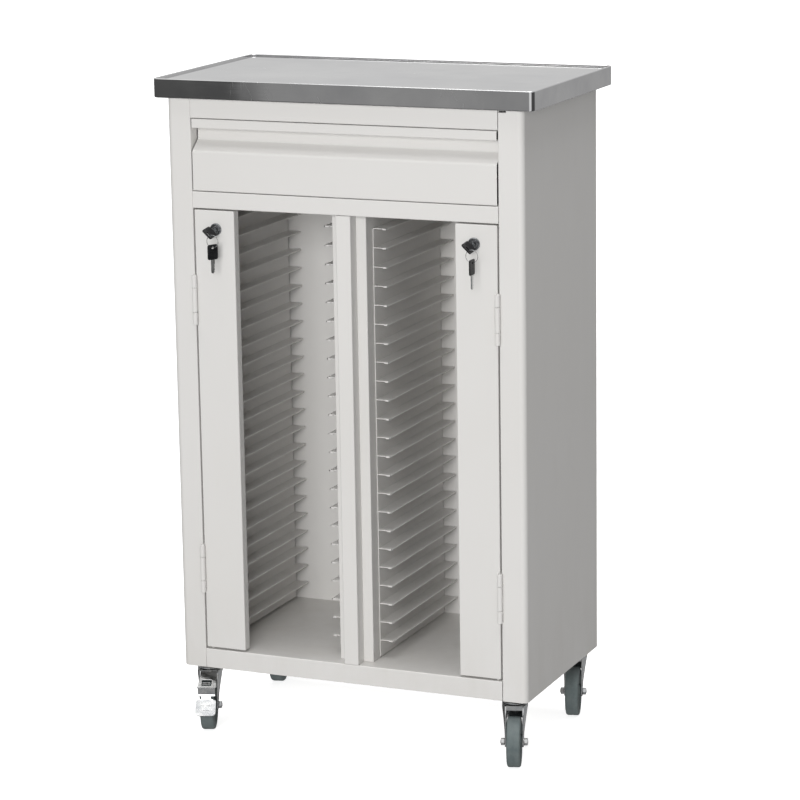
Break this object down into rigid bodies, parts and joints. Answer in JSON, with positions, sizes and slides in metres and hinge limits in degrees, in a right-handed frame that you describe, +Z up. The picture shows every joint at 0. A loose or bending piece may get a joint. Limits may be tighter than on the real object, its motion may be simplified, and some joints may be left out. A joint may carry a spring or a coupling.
{
  "type": "medical record trolley",
  "caption": "Sheet-steel medical record trolley with a stainless worktop tray, a drawer, open chart bays with ledges and narrow locking doors, on swivel casters.",
  "frame": {"origin": "on the floor under the middle of the whole trolley's bounding box", "axes": "+X to the right seen from the front, +Y to the back, +Z up; the drawer and doors face -Y"},
  "size_m": [0.64, 0.409, 1.0665],
  "materials": {
    "paint": "satin powder coat, warm light grey",
    "stainless": "polished stainless sheet with fine scratches",
    "zinc": "bright zinc plating",
    "lock_metal": "dark polished chrome",
    "black_plastic": "moulded",
    "grey_rubber": "matt thermoplastic rubber"
  },
  "bodies": {
    "cabinet": {"worktop_tray": "stainless", "back_panel": "paint", "bottom_pan": "paint", "top_rail": "paint", "mid_rail": "paint", "deck_shelf": "paint", "mullion": "paint", "divider_post": "paint", "side_panel_left": "paint", "rack_left_outer": "paint", "rack_left_inner": "paint", "base_channel_left": "paint", "drawer_runner_left": "zinc", "hinge_frame_leaf_left_upper": "paint", "hinge_frame_leaf_left_lower": "paint", "side_panel_right": "paint", "rack_right_outer": "paint", "rack_right_inner": "paint", "base_channel_right": "paint", "drawer_runner_right": "zinc", "hinge_frame_leaf_right_upper": "paint", "hinge_frame_leaf_right_lower": "paint", "caster_stem_fl": "zinc", "caster_stem_fr": "zinc", "caster_stem_bl": "zinc", "caster_stem_br": "zinc"},
    "drawer": {"drawer_front": "paint", "drawer_box": "paint"},
    "door_left": {"door_left": "paint", "lock_housing_left": "lock_metal", "hinge_door_leaf_left_upper": "paint", "hinge_door_leaf_left_lower": "paint"},
    "lock_plug_left": {"lock_plug_left": "lock_metal", "lock_cam_left": "zinc", "key_left": "black_plastic"},
    "key_ring_left": {"key_ring_left": "zinc"},
    "spare_key_left": {"spare_key_left": "black_plastic"},
    "door_right": {"door_right": "paint", "lock_housing_right": "lock_metal", "hinge_door_leaf_right_upper": "paint", "hinge_door_leaf_right_lower": "paint"},
    "lock_plug_right": {"lock_plug_right": "lock_metal", "lock_cam_right": "zinc", "key_right": "black_plastic"},
    "key_ring_right": {"key_ring_right": "zinc"},
    "spare_key_right": {"spare_key_right": "black_plastic"},
    "caster_fl": {"caster_fork_fl": "zinc", "caster_axle_fl": "zinc"},
    "wheel_fl": {"caster_wheel_fl": "grey_rubber"},
    "brake_fl": {"brake_pedal_fl": "zinc"},
    "caster_fr": {"caster_fork_fr": "zinc", "caster_axle_fr": "zinc"},
    "wheel_fr": {"caster_wheel_fr": "grey_rubber"},
    "caster_bl": {"caster_fork_bl": "zinc", "caster_axle_bl": "zinc"},
    "wheel_bl": {"caster_wheel_bl": "grey_rubber"},
    "brake_bl": {"brake_pedal_bl": "zinc"},
    "caster_br": {"caster_fork_br": "zinc", "caster_axle_br": "zinc"},
    "wheel_br": {"caster_wheel_br": "grey_rubber"}
  },
  "joints": [
    {"name": "drawer_slide", "type": "slide", "parent": "cabinet", "child": "drawer", "axis": [0, -1, 0], "range_m": [0, 0.24]},
    {"name": "door_left_hinge", "type": "hinge", "parent": "cabinet", "child": "door_left", "pos_m": [-0.2578, -0.1511, 0.5], "axis": [0, 0, -1], "range_deg": [0, 115]},
    {"name": "lock_left_turn", "type": "hinge", "parent": "door_left", "child": "lock_plug_left", "pos_m": [-0.219, -0.1495, 0.83], "axis": [0, -1, 0], "range_deg": [-45, 45]},
    {"name": "key_ring_left_swing", "type": "hinge", "parent": "lock_plug_left", "child": "key_ring_left", "pos_m": [-0.2161, -0.1763, 0.8243], "axis": [0, -1, 0], "range_deg": [-28, 12]},
    {"name": "spare_key_left_swing", "type": "hinge", "parent": "key_ring_left", "child": "spare_key_left", "pos_m": [-0.21105, -0.1763, 0.8061], "axis": [1, 0, 0], "range_deg": [-50, 30]},
    {"name": "door_right_hinge", "type": "hinge", "parent": "cabinet", "child": "door_right", "pos_m": [0.2578, -0.1511, 0.5], "axis": [0, 0, 1], "range_deg": [0, 115]},
    {"name": "lock_right_turn", "type": "hinge", "parent": "door_right", "child": "lock_plug_right", "pos_m": [0.219, -0.1495, 0.83], "axis": [0, 1, 0], "range_deg": [-45, 45]},
    {"name": "key_ring_right_swing", "type": "hinge", "parent": "lock_plug_right", "child": "key_ring_right", "pos_m": [0.2219, -0.1763, 0.8243], "axis": [0, 1, 0], "range_deg": [-12, 28]},
    {"name": "spare_key_right_swing", "type": "hinge", "parent": "key_ring_right", "child": "spare_key_right", "pos_m": [0.22695, -0.1763, 0.8061], "axis": [1, 0, 0], "range_deg": [-50, 30]},
    {"name": "caster_fl_swivel", "type": "hinge", "parent": "cabinet", "child": "caster_fl", "pos_m": [-0.268, -0.1155, 0.095], "axis": [0, 0, 1], "continuous": true},
    {"name": "wheel_fl_spin", "type": "hinge", "parent": "caster_fl", "child": "wheel_fl", "pos_m": [-0.25774, -0.14369, 0.04], "axis": [0.9397, 0.342, 0], "continuous": true},
    {"name": "brake_fl_release", "type": "hinge", "parent": "caster_fl", "child": "brake_fl", "pos_m": [-0.24765, -0.17141, 0.0785], "axis": [-0.9397, -0.342, 0], "range_deg": [0, 16]},
    {"name": "caster_fr_swivel", "type": "hinge", "parent": "cabinet", "child": "caster_fr", "pos_m": [0.268, -0.1155, 0.095], "axis": [0, 0, 1], "continuous": true},
    {"name": "wheel_fr_spin", "type": "hinge", "parent": "caster_fr", "child": "wheel_fr", "pos_m": [0.27727, -0.14403, 0.04], "axis": [0.9511, 0.309, 0], "continuous": true},
    {"name": "caster_bl_swivel", "type": "hinge", "parent": "cabinet", "child": "caster_bl", "pos_m": [-0.268, 0.1605, 0.095], "axis": [0, 0, 1], "continuous": true},
    {"name": "wheel_bl_spin", "type": "hinge", "parent": "caster_bl", "child": "wheel_bl", "pos_m": [-0.26074, 0.13139, 0.04], "axis": [0.9703, 0.2419, 0], "continuous": true},
    {"name": "brake_bl_release", "type": "hinge", "parent": "caster_bl", "child": "brake_bl", "pos_m": [-0.25361, 0.10277, 0.0785], "axis": [-0.9703, -0.2419, 0], "range_deg": [0, 16]},
    {"name": "caster_br_swivel", "type": "hinge", "parent": "cabinet", "child": "caster_br", "pos_m": [0.268, 0.1605, 0.095], "axis": [0, 0, 1], "continuous": true},
    {"name": "wheel_br_spin", "type": "hinge", "parent": "caster_br", "child": "wheel_br", "pos_m": [0.27576, 0.13152, 0.04], "axis": [0.9659, 0.2588, 0], "continuous": true}
  ]
}
